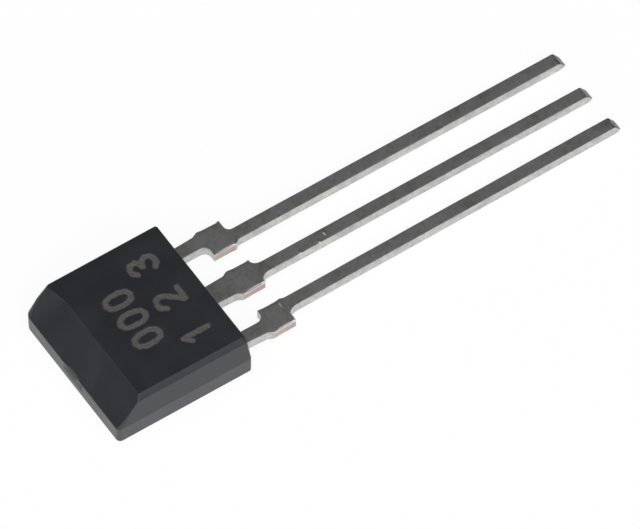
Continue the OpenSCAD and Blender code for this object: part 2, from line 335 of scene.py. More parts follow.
def distance_to_strokes(x, y):
    """Distance in mm from each point to the nearest stroke of any digit."""
    nearest = np.full(x.shape, 9.0)
    for digit, centre_x, centre_y in MARKS:
        corner = np.array([centre_x - 0.3 * MARK_HEIGHT, centre_y - MARK_HEIGHT / 2])
        for stroke in DIGITS[digit]:
            nodes = corner + np.array(stroke) * MARK_HEIGHT
            for a, b in zip(nodes[:-1], nodes[1:]):
                run = b - a
                t = np.clip(((x - a[0]) * run[0] + (y - a[1]) * run[1]) / (run @ run), 0, 1)
                nearest = np.minimum(nearest, np.hypot(x - a[0] - t * run[0],
                                                       y - a[1] - t * run[1]))
    return nearest


middle_of_1 = distance_to_strokes(np.array([-PITCH]), np.array([NUMBERS_Y]))[0]
print(len(MARKS), "digits; the middle of the 1 is", round(float(middle_of_1), 3), "mm off its stroke")

# %% [markdown]
# The marks are real trenches, so the grid of the sensing face has to be as fine as their edges
# where they are. It is fine in the round corners too, and coarse elsewhere, which keeps the case
# under 200,000 triangles.

# %% Grid of the sensing face
CELL, FINE_CELL = 0.06, 0.021
LAST_CELL = 0.012             # a shorter cell than this joins the one before it
NEAR_ZONE, FAR_ZONE = 0.17, 0.2


def grid_lines(length, zones):
    """Shares of the length, one cell apart in mm, and one fine cell apart inside the zones."""
    places, here = [0.0], 0.0
    while here < length - LAST_CELL:
        fine = any(a <= here <= b for a, b in zones)
        here += FINE_CELL if fine else CELL
        places.append(min(here, length))
    places[-1] = length
    return np.array(places) / length


# Zones are measured from the case's pin 1 side and from its lead end
across_zones = [(0, NEAR_ZONE), (0.6, 3.9), (CASE_W - NEAR_ZONE, CASE_W)]
along_zones = [(0, NEAR_ZONE), (0.65, 1.5), (1.77, 2.66), (CASE_L - FAR_ZONE, CASE_L)]
across_lines = grid_lines(CASE_W, across_zones)
along_lines = grid_lines(CASE_L, along_zones)
print("grid of", len(across_lines), "by", len(along_lines))

# %% [markdown]
# The mould is worn at the far end. The lower corners there are round, the more so on the pin 3
# side, where the slope above is blunt as well. So each level of the loft gets its own corner
# radii, and a little swelling near that corner.

# %% Levels of the case
def case_level(z):
    """Every grid point of the case's rectangle at height z, as columns x rows x 3."""
    low, high = level(z)
    x, y = np.meshgrid(low[0] + across_lines * (high[0] - low[0]),
                       low[1] + along_lines * (high[1] - low[1]), indexing="ij")
    rise = max(0, (z - PARTING_Z) / (CASE_T - PARTING_Z))
    # The far corners grow sharper up the slope
    lost = (1 - np.array(FAR_CORNER_KEEPS)) * min(1, 2 * rise)
    west, east = np.array(FAR_CORNER_R) * (1 - lost)
    x, y = round_corner(x, y, low, high, (NEAR_CORNER_R, NEAR_CORNER_R, east, west))
    # Near its pin 3 end the slope swells a little, so that the hip there is blunt
    swell = smooth(x, 1.3, 2.1) * smooth(y, high[1] - 0.8, high[1])
    y = y + BULGE * rise * swell
    return np.stack([x, y, np.full_like(x, z)], -1)


border_columns, border_rows = zip(*border(len(across_lines), len(along_lines)))
rings = [case_level(z)[border_columns, border_rows] for z in heights[1:-1]]
bottom, top = case_level(heights[0]), case_level(heights[-1])
print(len(rings), "rings of", len(border_rows), "points")

# %% [markdown]
# The two end faces get their marks before the loft closes them. On the back, an ejector pin that
# pushed the hot part out has left a round dimple. On the sensing face the laser has burnt its
# trenches, with an edge that wobbles and a crusty floor.

# %% Dimple and laser marks
EJECTOR_Y, EJECTOR_R, EJECTOR_DEPTH = 1.0, 0.6, 0.04

radius = np.hypot(bottom[..., 0], bottom[..., 1] - EJECTOR_Y)
bottom[..., 2] += EJECTOR_DEPTH * (1 - smooth(radius, EJECTOR_R - 0.025, EJECTOR_R + 0.01))

edge_distance = distance_to_strokes(top[..., 0], top[..., 1])
wobble = rough(top.reshape(-1, 3), 9, 1).reshape(edge_distance.shape)
crust = rough(top.reshape(-1, 3), 16, 2).reshape(edge_distance.shape)
half_stroke = MARK_STROKE / 2
burnt = 1 - smooth(edge_distance + 0.02 * wobble, half_stroke - 0.02, half_stroke + 0.012)
top[..., 2] -= MARK_DEPTH * burnt * (1 + 0.5 * crust)

case_skin, part = loft("case_skin", bottom, rings, top)
laser = np.zeros(len(part))
laser[part == 2] = burnt.ravel()
paint(case_skin, "laser", laser)
print("case:", len(case_skin.data.polygons), "faces; deepest mark",
      round(CASE_T - float(top[..., 2].min()), 3), "mm")

# %% [markdown]
# The gate is where the resin flowed in. When the runner is snapped off, the resin tears. A rough
# patch stays on the far wall, and above it a chip is missing from the edge along the parting
# line. The patch stands out from the wall by up to 0.03 mm, in the shape of noise. The chip is a
# lens that is deepest in the middle and fades out to both ends.

# %% Gate and chip
GATE_X, GATE_HALF_W, GATE_LOW, GATE_OUT = -0.06, 0.46, 0.2, 0.03
CHIP_LOW, CHIP_HIGH, CHIP_FADE = PARTING_Z - 0.09, PARTING_Z + 0.05, 0.045
FAR_Y = CASE_L / 2

points = points_in_mm(case_skin)
x, z = points[:, 0], points[:, 2]
on_far_wall = (points[:, 1] > FAR_Y - 0.15) * (part == 1)
under_gate = on_far_wall * (smooth(x - GATE_X, -GATE_HALF_W, -GATE_HALF_W + 0.06)
                            * smooth(GATE_X - x, -GATE_HALF_W, -GATE_HALF_W + 0.06))
in_gate = (under_gate * smooth(z, GATE_LOW, GATE_LOW + 0.04)
           * (1 - smooth(z, CHIP_LOW - 0.02, CHIP_LOW + 0.01)))
tear = 0.55 + 0.5 * rough(points, 5, 3) + 0.3 * rough(points, 14, 4)
points[:, 1] += GATE_OUT * in_gate * np.clip(tear, 0, 1)

chip_run = (CHIP_HIGH - PARTING_Z) / (CASE_T - PARTING_Z) * SLOPE_RUN
share = (z - CHIP_LOW) / (CHIP_HIGH - CHIP_LOW) + 0.12 * (tear - 0.55)
to_end = np.clip((x - GATE_X) / GATE_HALF_W, -1, 1)
chipped_y = FAR_Y - chip_run * np.clip(share, 0, 1) + CHIP_FADE * to_end ** 2
in_chip = on_far_wall * (z < CHIP_HIGH) * (z > CHIP_LOW)
chip_depth = in_chip * np.maximum(0, points[:, 1] - chipped_y)
points[:, 1] -= chip_depth
move_points(case_skin, points)

paint(case_skin, "torn", np.maximum(0.5 * in_gate, smooth(chip_depth, 0, 0.006)))
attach(case_skin, "root")
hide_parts("case")
print("the chip is", round(float(chip_depth.max()), 3), "mm deep")

# %% [markdown]
# ## Material: black epoxy moulding compound
#
# The resin is three quarters powdered silica with a little carbon black. The mould's steel was
# spark eroded, which gives the skin a fine even grain and a satin look: dark seen from above and
# pale at a grazing angle. The grain is really about 0.01 mm. It is drawn at 0.03 mm, or it would
# vanish. Mould release leaves faint cloudy patches. Below the parting line the skin is painted a
# shade paler, as painted light for the brighter lower walls. Where the runner tore off, the resin is
# rough and matte. Where the laser burnt it, pale silica is left.

# %% Epoxy material
epoxy, tree, mm = new_material("spark_eroded_black_epoxy")
clouds = add(tree, "ShaderNodeTexNoise", inputs={"Vector": mm, "Scale": 1.1, "Detail": 3,
                                                 "Roughness": 0.5})
cloud_mix = add(tree, "ShaderNodeMapRange", inputs={0: clouds.outputs["Fac"], 1: 0.35, 2: 0.65})
resin = add(tree, "ShaderNodeMix", {"data_type": "RGBA"},
            {0: cloud_mix.outputs[0], 6: linear("#292a2f"), 7: linear("#2e2f34")})
grit = add(tree, "ShaderNodeTexNoise", inputs={"Vector": mm, "Scale": 24, "Detail": 2,
                                               "Roughness": 0.7})
flecks = add(tree, "ShaderNodeMapRange", inputs={0: grit.outputs["Fac"], 1: 0.6, 2: 0.8,
                                                 3: 0, 4: 0.35})
filled = add(tree, "ShaderNodeMix", {"data_type": "RGBA"},
             {0: flecks.outputs[0], 6: resin.outputs[2], 7: linear("#47484b")})
laser_mask = add(tree, "ShaderNodeAttribute", {"attribute_name": "laser"})
ash = add(tree, "ShaderNodeMix", {"data_type": "RGBA"},
          {0: grit.outputs["Fac"], 6: linear("#4b4948"), 7: linear("#716e6c")})
marked = add(tree, "ShaderNodeMix", {"data_type": "RGBA"},
             {0: laser_mask.outputs["Fac"], 6: filled.outputs[2], 7: ash.outputs[2]})
torn_mask = add(tree, "ShaderNodeAttribute", {"attribute_name": "torn"})
height = add(tree, "ShaderNodeSeparateXYZ", inputs={0: mm}).outputs["Z"]
# Painted light: below the parting line the skin is mixed a shade paler, for the brighter light on the
# lower walls
half = add(tree, "ShaderNodeMapRange", inputs={0: height, 1: PARTING_Z - 0.01, 2: PARTING_Z,
                                               3: 0.25, 4: 0})
painted_paler_lower_half = add(tree, "ShaderNodeMix", {"data_type": "RGBA"},
                 {0: half.outputs[0], 6: marked.outputs[2], 7: linear("#66676a")})
scarred = add(tree, "ShaderNodeMix", {"data_type": "RGBA"},
              {0: torn_mask.outputs["Fac"], 6: painted_paler_lower_half.outputs[2], 7: linear("#434446")})
broken = add(tree, "ShaderNodeMath", {"operation": "MAXIMUM"},
             {0: laser_mask.outputs["Fac"], 1: torn_mask.outputs["Fac"]})
satin = add(tree, "ShaderNodeMapRange", inputs={0: clouds.outputs["Fac"], 1: 0.3, 2: 0.7,
                                                3: 0.36, 4: 0.44})
skin_roughness = add(tree, "ShaderNodeMix", {"data_type": "FLOAT"},
                     {0: broken.outputs[0], 2: satin.outputs[0], 3: 0.7})
grain = add(tree, "ShaderNodeTexNoise", inputs={"Vector": mm, "Scale": 34, "Detail": 3,
                                                "Roughness": 0.6})
skin_bump = add(tree, "ShaderNodeBump", inputs={"Height": grain.outputs["Fac"],
                                                "Strength": 0.25, "Distance": 0.01 * MM})
crust_bump = add(tree, "ShaderNodeBump", inputs={"Height": grit.outputs["Fac"],
                                                 "Strength": broken.outputs[0],
                                                 "Distance": 0.03 * MM,
                                                 "Normal": skin_bump.outputs["Normal"]})
surface = add(tree, "ShaderNodeBsdfPrincipled",
              inputs={"Base Color": scarred.outputs[2], "Roughness": skin_roughness.outputs[0],
                      "IOR": 1.57, "Normal": crust_bump.outputs["Normal"]})
add(tree, "ShaderNodeOutputMaterial", inputs={"Surface": surface.outputs[0]})
case_skin.data.materials.append(epoxy)
print("epoxy has", len(tree.nodes), "nodes")

# %% [markdown]
# ## The leads: stamped sheet
#
# All three leads are punched out of one copper sheet 0.3 mm thick. A lead is lofted along its
# length: every ring is its cross-section at one distance from the case, and two outlines, one for
# each edge, say how wide it is there. The outlines follow those of the CAD leads, with quarter
# ellipses in their inward corners, because the punch that made them was rounded.

# %% Outlines of the leads, as distance from the case against x, in mm
SHEET_Z, SHEET_T = 0.24, 0.3
LEAD_L, PIN_1_EXTRA = 11.92, 0.07
BAR_START, BAR_END = 0.92, 1.6
EMBED_L = 0.6                 # the neck reaches this far into the case
POST_END, PADDLE_END = -1.7, -2.6
ROOT_R, THROAT_R = 0.18, 0.2
PIN_1_LEAN = np.radians(0.4)
PIN_3_SHIFT = 0.03            # the dam bar was cut this much farther out on pin 3
CASE_END = -CASE_L / 2


def hollow(corner_d, corner_x, radii, way_d, way_x):
    """Quarter ellipse that fills the inward corner at (d, x), on the way_d and way_x sides."""
    turn = np.linspace(0, np.pi / 2, 9)
    centre_d, centre_x = corner_d + way_d * radii[0], corner_x + way_x * radii[1]
    return sorted((centre_d - way_d * radii[0] * np.cos(t), centre_x - way_x * radii[1] * np.sin(t))
                  for t in turn)


def outer_edge(root, shank, shift):
    """The edge of an outer lead that faces away from the middle one."""
    start, end = BAR_START + shift, BAR_END + shift
    return ([(POST_END, 1.76), (-EMBED_L, 1.76), (0.2, 1.765), (start - 0.17, 1.79),
             (start, 1.872), (end, 1.855)]
            + hollow(end, shank, root, 1, 1) + [(LEAD_L + PIN_1_EXTRA, shank)])


def middle_edge(root, out):
    """Either edge of the middle lead: the paddle, the neck, the stub and the shank."""
    return ([(PADDLE_END, 0.9), (-EMBED_L, 0.9), (-EMBED_L, 0.312), (0.2, 0.315),
             (BAR_START - 0.15, 0.335), (BAR_START, out), (BAR_END, out - 0.01)]
            + hollow(BAR_END, 0.183, root, 1, 1) + [(LEAD_L, 0.183)])


def inner_edge(stub, shank, shift):
    """The edge of an outer lead that faces the middle one."""
    start, end = BAR_START + shift, BAR_END + shift
    return ([(POST_END, 1.1), (-EMBED_L, 1.1), (-EMBED_L, 1.375), (0.3, 1.37)]
            + hollow(start, 1.37, (THROAT_R, THROAT_R), -1, -1)
            + [(start, stub), (end, stub - 0.005), (end + 0.12, shank),
               (LEAD_L + PIN_1_EXTRA, shank)])


def mirrored(edge):
    """The same edge on the other side, at negative x."""
    return [(d, -x) for d, x in edge]


def lean_in(edge):
    """Turns the shank of pin 1 a little towards the middle lead."""
    return [(d, x + max(0, d - BAR_END) * np.tan(PIN_1_LEAN)) for d, x in edge]


def cut_at(edge, length):
    """The same edge, ending at the tip of a lead of this length."""
    return [(d, x) for d, x in edge if d < length] + [(length, edge[-1][1])]


LEADS = {"pin_1_lead": (lean_in(mirrored(outer_edge((0.28, ROOT_R), 1.468, 0))),
                        lean_in(mirrored(inner_edge(1.06, 1.095, 0)))),
         "pin_2_lead": (mirrored(middle_edge((0.28, ROOT_R), 0.425)),
                        middle_edge((0.26, ROOT_R), 0.415)),
         "pin_3_lead": (cut_at(inner_edge(1.005, 1.083, PIN_3_SHIFT), LEAD_L),
                        cut_at(outer_edge((0.17, ROOT_R), 1.465, PIN_3_SHIFT), LEAD_L))}
for name, (low_edge, _) in LEADS.items():
    print(name, "starts", low_edge[0][0], "and ends", low_edge[-1][0], "mm from the case")

# %% [markdown]
# A cross-section is a rectangle with round edges. Two things change it along the lead. The punch
# that took the dam bar away came from above and dragged the top edges of the stubs down, so they
# are rounder there. The tips were sheared, and slope at the top and are rolled under below. Rings
# stand close together where the outline steps or curves.

# %% Cross-sections of a lead
EDGE_R = 0.012
CUT_ROLL = 0.05               # how far the punch pulled the top edge of each cut down
TIP_BEVEL, TIP_ROLL = 0.15, 0.12
TIP_ROLL_L = 0.22
RING_STEP = 0.05
STEP_GAP = 0.0015             # rings stand this far before and after a step of the outline
SMALLEST_GAP = 0.0012         # a ring closer than this to the one before it is left out
EDGE_CELLS = 5                # grid cells on a rounded edge
NODULE_R, NODULE_H = 0.035, 0.022


def value_at(edge, d):
    """x of an outline at distance d. Just before or after a step, d tells the two sides apart."""
    ds, xs = np.array(edge).T
    return np.interp(d, ds, xs)


def stations(edges, nodules):
    """Distances along a lead at which it gets a ring, with a pair wherever an outline steps."""
    corners = sorted({round(d, 4) for edge in edges for d, _ in edge})
    first, last = corners[0], corners[-1]
    tip = last - TIP_ROLL_L * np.linspace(0, 1, 23)
    cut = BAR_START + 0.02 + (BAR_END - BAR_START - 0.04) * np.linspace(0, 1, 28)
    lumps = [d + NODULE_R * np.linspace(-1.2, 1.2, 7) for _, d in nodules]
    plain = np.arange(first, last, RING_STEP)
    places = {first, last}.union(*(np.round(run, 4) for run in [plain, tip, cut] + lumps))
    for d in corners[1:-1]:
        places.update((round(d - STEP_GAP, 4), round(d + STEP_GAP, 4)))
    places = np.array(sorted(places))
    return places[np.concatenate([[True], np.diff(places) > SMALLEST_GAP])]


def steps_with_fine_ends(length, fine, coarse):
    """Places from 0 to length: EDGE_CELLS fine steps at both ends, about coarse between."""
    ends = fine * np.arange(EDGE_CELLS + 1)
    middle = np.linspace(ends[-1], length - ends[-1], max(2, int(np.ceil(length / coarse))))
    return np.concatenate([ends[:-1], middle, (length - ends)[::-1][1:]])


def rolled_over(d):
    """Radius of the top edges at distance d: large along the cut, where the punch dragged them."""
    before_end = 1 - smooth(d, BAR_END - 0.05, BAR_END)
    along_cut = smooth(d, BAR_START - 0.01, BAR_START + 0.22) * before_end
    return float(EDGE_R + (CUT_ROLL - EDGE_R) * along_cut)


def bevelled_top(d, end):
    """Height of a lead's flat at distance d, with the bevel that leads down to its end."""
    return SHEET_Z + SHEET_T - (SHEET_T - TIP_ROLL) * np.clip((d - end + TIP_BEVEL) / TIP_BEVEL, 0, 1)


def section(edges, d):
    """All grid points of one cross-section, as columns x rows x 3."""
    low_x, high_x = value_at(edges[0], d), value_at(edges[1], d)
    end = edges[0][-1][0]
    top_z = float(bevelled_top(d, end))
    roll = np.clip((d - end + TIP_ROLL_L) / TIP_ROLL_L, 0, 0.985)
    low_z = SHEET_Z + TIP_ROLL * (1 - np.sqrt(1 - roll ** 2))
    most = (top_z - low_z) / 2.2       # both edges together have to fit in the thickness
    upper, lower = min(rolled_over(d), most), min(EDGE_R, most)
    fine = upper / EDGE_CELLS
    across = steps_with_fine_ends(high_x - low_x, fine, (high_x - low_x) / 8)
    upward = steps_with_fine_ends(top_z - low_z, fine, (top_z - low_z) / 12)
    x, z = np.meshgrid(low_x + across, low_z + upward, indexing="ij")
    x, z = round_corner(x, z, (low_x, low_z), (high_x, top_z), (lower, lower, upper, upper))
    return np.stack([x, np.full_like(x, CASE_END - d), z], -1)


print("section:", section(LEADS["pin_2_lead"], 5.0).shape[:2], "grid lines")

# %% [markdown]
# Each cut leaves marks. Under the rolled edge of a stub the punch burnished a narrow band, where
# smeared tin shines. Under the band the copper has broken off rough and lies a little deeper. At
# the end of the cut a crumb of tin stands up. Shearing tore a ragged step across the start of the
# tip's bevel and nicked its corner. Here and there the plating bath left a nodule of tin, a few
# hundredths of a millimetre high. Each mark is a mask from 0 to 1 over the points of the mesh. The
# band, the crumb and the nodules are painted a near-white tin: partly the real bright tin, partly a
# painted highlight. The ragged step is painted dark grey, as painted shade.

# %% Marks of the tools
SHINE_LOW, SHINE_HIGH = 0.76, 0.86      # the burnished band, as shares of the sheet's thickness
SIDE = 0.03                             # points this close to an edge belong to its cut face
BREAK_DEPTH = 0.01
CRUMB_OUT, CRUMB_UP = 0.012, 0.006
STEP_DEPTH, RAGGED, NICK = 0.012, 0.03, 0.03
EDGE_WAVE, FLAT_WAVE = 0.003, 0.0022
# x of each nodule and its distance from the case, in mm
NODULES = {"pin_1_lead": [(-1.195, 1.537)],
           "pin_2_lead": [(0.023, 3.706), (-0.16, 3.458), (-0.166, 2.85)],
           "pin_3_lead": []}


def cut_masks(d, height, swell, to_side, shift):
    """The broken zone, the burnished band and the crumb of the cuts that freed the stub."""
    start, stop = BAR_START + shift, BAR_END + shift
    on_stub = smooth(d, start, start + 0.012) * (1 - smooth(d, stop - 0.012, stop))
    on_cut = on_stub * (to_side < SIDE)
    wavy = height + 0.05 * swell
    in_band = smooth(wavy, SHINE_LOW - 0.04, SHINE_LOW + 0.04)
    shine = on_cut * in_band * (1 - smooth(wavy, SHINE_HIGH, SHINE_HIGH + 0.12))
    crumb = np.exp(-((d - stop + 0.04) / 0.05) ** 2 - ((height - 0.88) / 0.1) ** 2)
    return on_cut * (1 - in_band), shine, crumb * (to_side < 0.05)


def nodule_mask(co, d, height, spots):
    """Bumps on the top of a lead."""
    nodule = np.zeros(len(co))
    for spot_x, spot_d in spots:
        nodule += np.exp(-((co[:, 0] - spot_x) ** 2 + (d - spot_d) ** 2) / NODULE_R ** 2)
    return nodule * (height > 0.85)


def shear_tip(co, d, high_x, end, seed):
    """Tears the start of the bevel and nicks the corner. Returns the mask of what is torn."""
    bevel_top = bevelled_top(d, end)
    on_top = smooth(co[:, 2], bevel_top - 0.03, bevel_top - 0.012)
    ragged = d + RAGGED * rough(co * (1, 0, 1), 7, seed)
    tip = smooth(ragged, end - TIP_BEVEL - 0.03, end - TIP_BEVEL + 0.04) * on_top
    co[:, 2] -= STEP_DEPTH * np.exp(-((ragged - end + TIP_BEVEL) / 0.025) ** 2) * on_top
    nick = smooth(d, end - 0.16, end) * smooth(co[:, 0] - high_x, -0.09, 0)
    co[:, 1] += NICK * nick
    return tip


print({name: len(spots) for name, spots in NODULES.items()}, "nodules")

# %% [markdown]
# Each lead is lofted from its sections, marked and painted. The distances that place the marks are
# taken before the points move. A last slow noise, two or three thousandths of a millimetre, bends
# the edges and the flat, because punching leaves none of them quite straight.

# %% Build the leads
def build_lead(name, edges, seed):
    """One plated lead, between the outlines of its two edges."""
    grids = [section(edges, d) for d in stations(edges, NODULES[name])]
    columns, rows = zip(*border(*grids[0].shape[:2]))
    piece, _ = loft(name + "_plated", grids[0], [g[columns, rows] for g in grids[1:-1]], grids[-1])
    co = points_in_mm(piece)
    d = CASE_END - co[:, 1]
    low_x, high_x = [np.array([value_at(edge, v) for v in d]) for edge in edges]
    to_side = np.minimum(co[:, 0] - low_x, high_x - co[:, 0])
    outward = np.where(co[:, 0] - low_x < high_x - co[:, 0], -1, 1)
    height = (co[:, 2] - SHEET_Z) / SHEET_T
    grit, swell = rough(co, 14, seed), rough(co * (1, 0.25, 1), 5, seed + 1)
    shift = PIN_3_SHIFT if name == "pin_3_lead" else 0

    broken, shine, crumb = cut_masks(d, height, swell, to_side, shift)
    co[:, 0] -= outward * BREAK_DEPTH * broken * (0.7 + 0.6 * grit)
    co[:, 0] += outward * CRUMB_OUT * crumb * (0.9 + 0.5 * grit)
    co[:, 2] += CRUMB_UP * crumb
    nodule = nodule_mask(co, d, height, NODULES[name])
    co[:, 2] += NODULE_H * nodule
    tip = shear_tip(co, d, high_x, edges[0][-1][0], seed + 3)
    free = smooth(d, 0.02, 0.2)
    co[:, 0] += outward * EDGE_WAVE * swell * free * (to_side < SIDE)
    co[:, 2] += FLAT_WAVE * rough(co * (1, 0.3, 1), 4, seed + 2) * free * (height > 0.5)
    move_points(piece, co)

    paint(piece, "cut", broken)
    # Burnished band, crumb and nodules: real bright tin with a painted highlight on top
    paint(piece, "burnish_and_painted_glint", np.clip(0.8 * shine + crumb + nodule, 0, 1))
    paint(piece, "tip", tip)
    piece.data.set_sharp_from_angle(angle=np.radians(50))
    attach(piece, "root")
    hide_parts(name)
    return piece


leads = [build_lead(name, edges, 10 * k + 5) for k, (name, edges) in enumerate(LEADS.items())]
print("leads:", [len(piece.data.polygons) for piece in leads], "faces")

# %% [markdown]
# ## Material: matte tin over copper
#
# Tin is plated from an acid bath as a mat of tiny crystals, so it reflects softly and a little
# warm. The rolled sheet's lines still show through along the lead. Where a tool has cut the
# plated metal, bare copper shows, dulled to a pinkish tan. The crystals are about 0.005 mm
# across, far too fine to see, and are drawn at 0.04 mm.

# %% Tin and copper material
tin, tree, mm = new_material("matte_tin_on_copper")
patches = add(tree, "ShaderNodeTexNoise", inputs={"Vector": mm, "Scale": 2.2, "Detail": 4,
                                                  "Roughness": 0.6})
crystals = add(tree, "ShaderNodeTexNoise", inputs={"Vector": mm, "Scale": 26, "Detail": 3,
                                                   "Roughness": 0.7})
along_lead = add(tree, "ShaderNodeMapping", inputs={"Vector": mm, "Scale": (30, 0.8, 30)})
rolled = add(tree, "ShaderNodeTexNoise", inputs={"Vector": along_lead.outputs[0], "Scale": 1,
                                                 "Detail": 2, "Roughness": 0.5})
dull = add(tree, "ShaderNodeMapRange", inputs={0: patches.outputs["Fac"], 1: 0.35, 2: 0.7})
tin_colour = add(tree, "ShaderNodeMix", {"data_type": "RGBA"},
                 {0: dull.outputs[0], 6: linear("#d1d1cd"), 7: linear("#bcbcc0")})
mottle = add(tree, "ShaderNodeTexNoise", inputs={"Vector": mm, "Scale": 7, "Detail": 3,
                                                 "Roughness": 0.6})
blotches = add(tree, "ShaderNodeMapRange", inputs={0: mottle.outputs["Fac"], 1: 0.45, 2: 0.7,
                                                   3: 0, 4: 0.6})
tin_mottled = add(tree, "ShaderNodeMix", {"data_type": "RGBA"},
                  {0: blotches.outputs[0], 6: tin_colour.outputs[2], 7: linear("#a5a5a3")})
specks = add(tree, "ShaderNodeMapRange", inputs={0: crystals.outputs["Fac"], 1: 0.3, 2: 0.42,
                                                 3: 0.35, 4: 0})
tin_specked = add(tree, "ShaderNodeMix", {"data_type": "RGBA"},
                  {0: specks.outputs[0], 6: tin_mottled.outputs[2], 7: linear("#8b8b8c")})
cut_mask = add(tree, "ShaderNodeAttribute", {"attribute_name": "cut"})
burnish_glint_mask = add(tree, "ShaderNodeAttribute", {"attribute_name": "burnish_and_painted_glint"})
tip_mask = add(tree, "ShaderNodeAttribute", {"attribute_name": "tip"})
along = add(tree, "ShaderNodeSeparateXYZ", inputs={0: mm}).outputs["Y"]
aged = add(tree, "ShaderNodeMapRange", inputs={0: along, 1: CASE_END - BAR_START - 0.1,
                                               2: CASE_END - BAR_END, 3: 0, 4: 0.8})
stain = add(tree, "ShaderNodeMath", {"operation": "MULTIPLY_ADD", "use_clamp": True},
            {0: patches.outputs["Fac"], 1: 0.6, 2: aged.outputs[0]})
copper_colour = add(tree, "ShaderNodeMix", {"data_type": "RGBA"},
                    {0: stain.outputs[0], 6: linear("#cfbcad"), 7: linear("#c0afae")})
with_copper = add(tree, "ShaderNodeMix", {"data_type": "RGBA"},
                  {0: cut_mask.outputs["Fac"], 6: tin_specked.outputs[2],
                   7: copper_colour.outputs[2]})
# Painted highlight over real bright tin: where the mask is set, the colour goes to near white
with_painted_glint = add(tree, "ShaderNodeMix", {"data_type": "RGBA"},
               {0: burnish_glint_mask.outputs["Fac"], 6: with_copper.outputs[2], 7: linear("#e6e3df")})
# Painted shade: the ragged step at the start of the bevel is painted dark grey
step_shade_ramp = add(tree, "ShaderNodeMapRange", inputs={0: tip_mask.outputs["Fac"], 1: 0.1, 2: 0.5})
to_torn = add(tree, "ShaderNodeMapRange", inputs={0: tip_mask.outputs["Fac"], 1: 0.5, 2: 0.9})
painted_step_shade = add(tree, "ShaderNodeMix", {"data_type": "RGBA"},
              {0: step_shade_ramp.outputs[0], 6: with_painted_glint.outputs[2], 7: linear("#6e6d6c")})
torn_grey = add(tree, "ShaderNodeMix", {"data_type": "RGBA"},
                {0: crystals.outputs["Fac"], 6: linear("#6b6a69"), 7: linear("#8a8887")})
with_tip = add(tree, "ShaderNodeMix", {"data_type": "RGBA"},
               {0: to_torn.outputs[0], 6: painted_step_shade.outputs[2], 7: torn_grey.outputs[2]})
tin_roughness = add(tree, "ShaderNodeMapRange", inputs={0: patches.outputs["Fac"], 1: 0.3,
                                                        2: 0.7, 3: 0.36, 4: 0.48})
roughness = add(tree, "ShaderNodeMix", {"data_type": "FLOAT"},
                {0: cut_mask.outputs["Fac"], 2: tin_roughness.outputs[0], 3: 0.55})
line_bump = add(tree, "ShaderNodeBump", inputs={"Height": rolled.outputs["Fac"],
                                                "Strength": 0.15, "Distance": 0.01 * MM})
crystal_bump = add(tree, "ShaderNodeBump", inputs={"Height": crystals.outputs["Fac"],
                                                   "Strength": 0.3, "Distance": 0.008 * MM,
                                                   "Normal": line_bump.outputs["Normal"]})
surface = add(tree, "ShaderNodeBsdfPrincipled",
              inputs={"Base Color": with_tip.outputs[2], "Metallic": 1.0,
                      "Roughness": roughness.outputs[0], "Normal": crystal_bump.outputs["Normal"]})
add(tree, "ShaderNodeOutputMaterial", inputs={"Surface": surface.outputs[0]})
for piece in leads:
    piece.data.materials.append(tin)
print("tin has", len(tree.nodes), "nodes")

# %% [markdown]
# ## Inside the case
#
# Nobody sees the chip, its glue and its wires, but they are part of the model and get their own
# finish all the same: sawn silicon, a resin full of silver flakes, and drawn gold. One loop makes
# all three, because they differ only in their two colours, in the size of the noise that mixes
# these, and in how metallic and how rough they are. The silicon gives a smooth dark sheen, the
# flakes a soft pale glint, and the gold a warm and even shine.

# %% Materials of the hidden parts
INSIDE = [
    ("sawn_silicon", ["hall_die"], "#4c5058", "#6a6f7a", 40, 0.0, 0.25),
    ("silver_filled_epoxy", ["die_attach"], "#a9a9a4", "#d2d2cc", 60, 0.6, 0.5),
    ("drawn_gold", ["bond_wire_1", "bond_wire_2", "bond_wire_3"], "#e0b04a", "#f0c766", 90, 1, 0.25)]
for name, nodes, dark, pale, scale, metallic, roughness_value in INSIDE:
    material, tree, mm = new_material(name)
    spots = add(tree, "ShaderNodeTexNoise", inputs={"Vector": mm, "Scale": scale, "Detail": 2})
    colour = add(tree, "ShaderNodeMix", {"data_type": "RGBA"},
                 {0: spots.outputs["Fac"], 6: linear(dark), 7: linear(pale)})
    bump = add(tree, "ShaderNodeBump", inputs={"Height": spots.outputs["Fac"],
                                               "Strength": 0.2, "Distance": 0.003 * MM})
    surface = add(tree, "ShaderNodeBsdfPrincipled",
                  inputs={"Base Color": colour.outputs[2], "Metallic": metallic,
                          "Roughness": roughness_value, "Normal": bump.outputs["Normal"]})
    add(tree, "ShaderNodeOutputMaterial", inputs={"Surface": surface.outputs[0]})
    for node in nodes:
        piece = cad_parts[node]
        piece.data.materials.clear()
        piece.data.materials.append(material)
    print(name, "on", nodes)

# %% [markdown]
# ## The table
#
# Laid on its back, the sensor tips until the undersides of its lead tips touch, because the leads
# leave the case above its back face. The table is a wide plane tilted by that one degree, so that
# both ends rest on it. To the camera and to mirrors it is mostly a white glow, with a share of real
# diffuse white that takes the soft shadow. To all other light it is plain diffuse white.

# %% Table
REST_EDGE_Y = CASE_END + LOWER_IN + MATCH_STEP
REST_TIP_Y = CASE_END - LEAD_L + TIP_ROLL
TABLE_HALF = 1.5              # m
TABLE_GAP = 0.002             # mm, so that nothing lies in the same plane as the table
GLOW_SHARE, GLOW = 0.85, 1.065

tilt = np.arctan2(SHEET_Z, REST_EDGE_Y - REST_TIP_Y)
table = add_mesh("table", [(-TABLE_HALF, -TABLE_HALF, 0), (TABLE_HALF, -TABLE_HALF, 0),
                           (TABLE_HALF, TABLE_HALF, 0), (-TABLE_HALF, TABLE_HALF, 0)],
                 [(0, 1, 2, 3)])
table.location = (0, REST_EDGE_Y * MM, -TABLE_GAP * MM)
table.rotation_euler = (-tilt, 0, 0)

